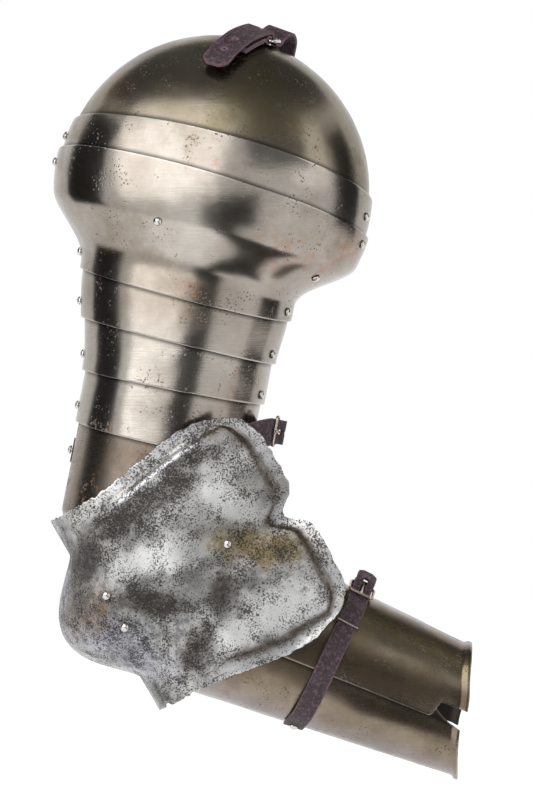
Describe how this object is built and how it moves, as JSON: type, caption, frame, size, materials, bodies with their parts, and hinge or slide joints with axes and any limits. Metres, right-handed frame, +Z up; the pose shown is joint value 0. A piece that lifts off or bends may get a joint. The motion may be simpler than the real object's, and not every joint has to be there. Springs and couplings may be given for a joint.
{
  "type": "plate arm harness",
  "caption": "Articulated plate armour for a right arm: shoulder cap and lames, winged elbow plate, hinged forearm tube, riveted joints and buckled leather straps.",
  "frame": {"origin": "top of the shoulder strap's loop, where the harness hangs from the wearer's shoulder", "axes": "+Z up, +X to the wearer's front, -Y to the outer side of the arm"},
  "size_m": [0.2945, 0.1501, 0.5275],
  "materials": {
    "steel": "polished, worn, with fine scratches",
    "pitted_steel": "dull and heavily pitted",
    "rivet_steel": "rubbed bright",
    "nickel": "bright",
    "brass": "tarnished",
    "purple_leather": "dark, grained, worn",
    "tan_leather": "rough"
  },
  "bodies": {
    "shoulder_cap": {"shoulder_cap": "steel", "cap_pivot_rear": "rivet_steel", "cap_pivot_front": "rivet_steel", "shoulder_buckle_frame": "nickel", "shoulder_chape": "purple_leather", "shoulder_chape_rivet": "rivet_steel", "shoulder_billet": "purple_leather"},
    "shoulder_tongue": {"shoulder_buckle_tongue": "nickel"},
    "shoulder_lame": {"shoulder_lame": "steel", "shoulder_pivot_rear": "rivet_steel", "shoulder_pivot_front": "rivet_steel"},
    "main_plate": {"main_shoulder_plate": "steel", "main_centre_rivet": "rivet_steel", "front_leather_rivet": "rivet_steel", "main_pivot_rear": "rivet_steel", "main_pivot_front": "rivet_steel", "rear_leather": "tan_leather", "front_leather": "tan_leather"},
    "arm_lame_upper": {"arm_lame_upper": "steel", "upper_pivot_rear": "rivet_steel", "upper_pivot_front": "rivet_steel"},
    "arm_lame_middle": {"arm_lame_middle": "steel", "middle_pivot_rear": "rivet_steel", "middle_pivot_front": "rivet_steel"},
    "arm_lame_lower": {"arm_lame_lower": "steel", "lower_pivot_rear": "rivet_steel", "lower_pivot_front": "rivet_steel"},
    "upper_cannon": {"upper_cannon": "steel", "arm_buckle_frame": "brass", "arm_billet": "purple_leather", "arm_billet_rivet": "rivet_steel", "arm_chape": "purple_leather", "arm_chape_rivet": "rivet_steel"},
    "arm_tongue": {"arm_buckle_tongue": "brass"},
    "couter": {"couter": "pitted_steel", "couter_wing_rivet": "rivet_steel", "upper_elbow_rivet_outer": "rivet_steel", "upper_elbow_rivet_inner": "rivet_steel", "lower_elbow_rivet_outer": "rivet_steel", "lower_elbow_rivet_inner": "rivet_steel"},
    "forearm": {"forearm_rear_plate": "steel", "upper_hinge_rear_leaf": "steel", "upper_hinge_rear_rivet": "rivet_steel", "upper_hinge_pin": "rivet_steel", "lower_hinge_rear_leaf": "steel", "lower_hinge_rear_rivet": "rivet_steel", "lower_hinge_pin": "rivet_steel", "forearm_billet": "purple_leather", "forearm_keeper": "brass", "forearm_strap_rivet": "rivet_steel"},
    "forearm_door": {"forearm_front_plate": "steel", "upper_hinge_door_leaf": "steel", "upper_hinge_door_rivet": "rivet_steel", "lower_hinge_door_leaf": "steel", "lower_hinge_door_rivet": "rivet_steel", "forearm_buckle_frame": "brass", "forearm_chape": "purple_leather", "forearm_chape_rivet": "rivet_steel"},
    "forearm_tongue": {"forearm_buckle_tongue": "brass"}
  },
  "joints": [
    {"name": "shoulder_lame_swing", "type": "hinge", "parent": "shoulder_cap", "child": "shoulder_lame", "pos_m": [-0.14875, -0.01749, -0.07538], "axis": [0.962, -0.07, -0.2638], "range_deg": [-5, 8]},
    {"name": "main_plate_swing", "type": "hinge", "parent": "shoulder_lame", "child": "main_plate", "pos_m": [-0.15605, -0.01759, -0.09298], "axis": [0.962, -0.0708, -0.2636], "range_deg": [-4, 6]},
    {"name": "upper_lame_swing", "type": "hinge", "parent": "main_plate", "child": "arm_lame_upper", "pos_m": [-0.13765, -0.01569, -0.15548], "axis": [0.9468, -0.1403, -0.2895], "range_deg": [-4, 4], "deforming": ["rear_leather", "front_leather"]},
    {"name": "middle_lame_swing", "type": "hinge", "parent": "arm_lame_upper", "child": "arm_lame_middle", "pos_m": [-0.13795, -0.01559, -0.19008], "axis": [0.9504, -0.1459, -0.2748], "range_deg": [-4, 4]},
    {"name": "lower_lame_swing", "type": "hinge", "parent": "arm_lame_middle", "child": "arm_lame_lower", "pos_m": [-0.13565, -0.01549, -0.22708], "axis": [0.9602, -0.1547, -0.2324], "range_deg": [-4, 4]},
    {"name": "cannon_swing", "type": "hinge", "parent": "arm_lame_lower", "child": "upper_cannon", "pos_m": [-0.13935, -0.01539, -0.26328], "axis": [0.9551, -0.1551, -0.2525], "range_deg": [-4, 4], "deforming": ["arm_billet", "arm_chape"]},
    {"name": "elbow_upper", "type": "hinge", "parent": "upper_cannon", "child": "couter", "pos_m": [-0.12075, -0.00349, -0.39428], "axis": [0, 1, 0], "range_deg": [-17, 7]},
    {"name": "elbow_lower", "type": "hinge", "parent": "couter", "child": "forearm", "pos_m": [-0.10805, -0.00349, -0.41628], "axis": [0, 1, 0], "range_deg": [-17, 7]},
    {"name": "forearm_door_hinge", "type": "hinge", "parent": "forearm", "child": "forearm_door", "pos_m": [0.04715, 0.03651, -0.45928], "axis": [-0.9307, 0.0739, 0.3583], "range_deg": [0, 80], "deforming": ["forearm_billet"]},
    {"name": "shoulder_tongue_swing", "type": "hinge", "parent": "shoulder_cap", "child": "shoulder_tongue", "pos_m": [-0.01647, -0.02492, -0.00577], "axis": [0.8214, -0.4671, -0.3274], "range_deg": [0, 45]},
    {"name": "arm_tongue_swing", "type": "hinge", "parent": "upper_cannon", "child": "arm_tongue", "pos_m": [-0.00372, -0.01854, -0.28153], "axis": [0.1908, 0, 0.9816], "range_deg": [0, 45]},
    {"name": "forearm_tongue_swing", "type": "hinge", "parent": "forearm_door", "child": "forearm_tongue", "pos_m": [0.05696, -0.02432, -0.38915], "axis": [-0.8979, -0.0234, 0.4396], "range_deg": [0, 45]}
  ],
  "couplings": [
    {"joint": "elbow_lower", "follows": "elbow_upper", "ratio": 1}
  ]
}
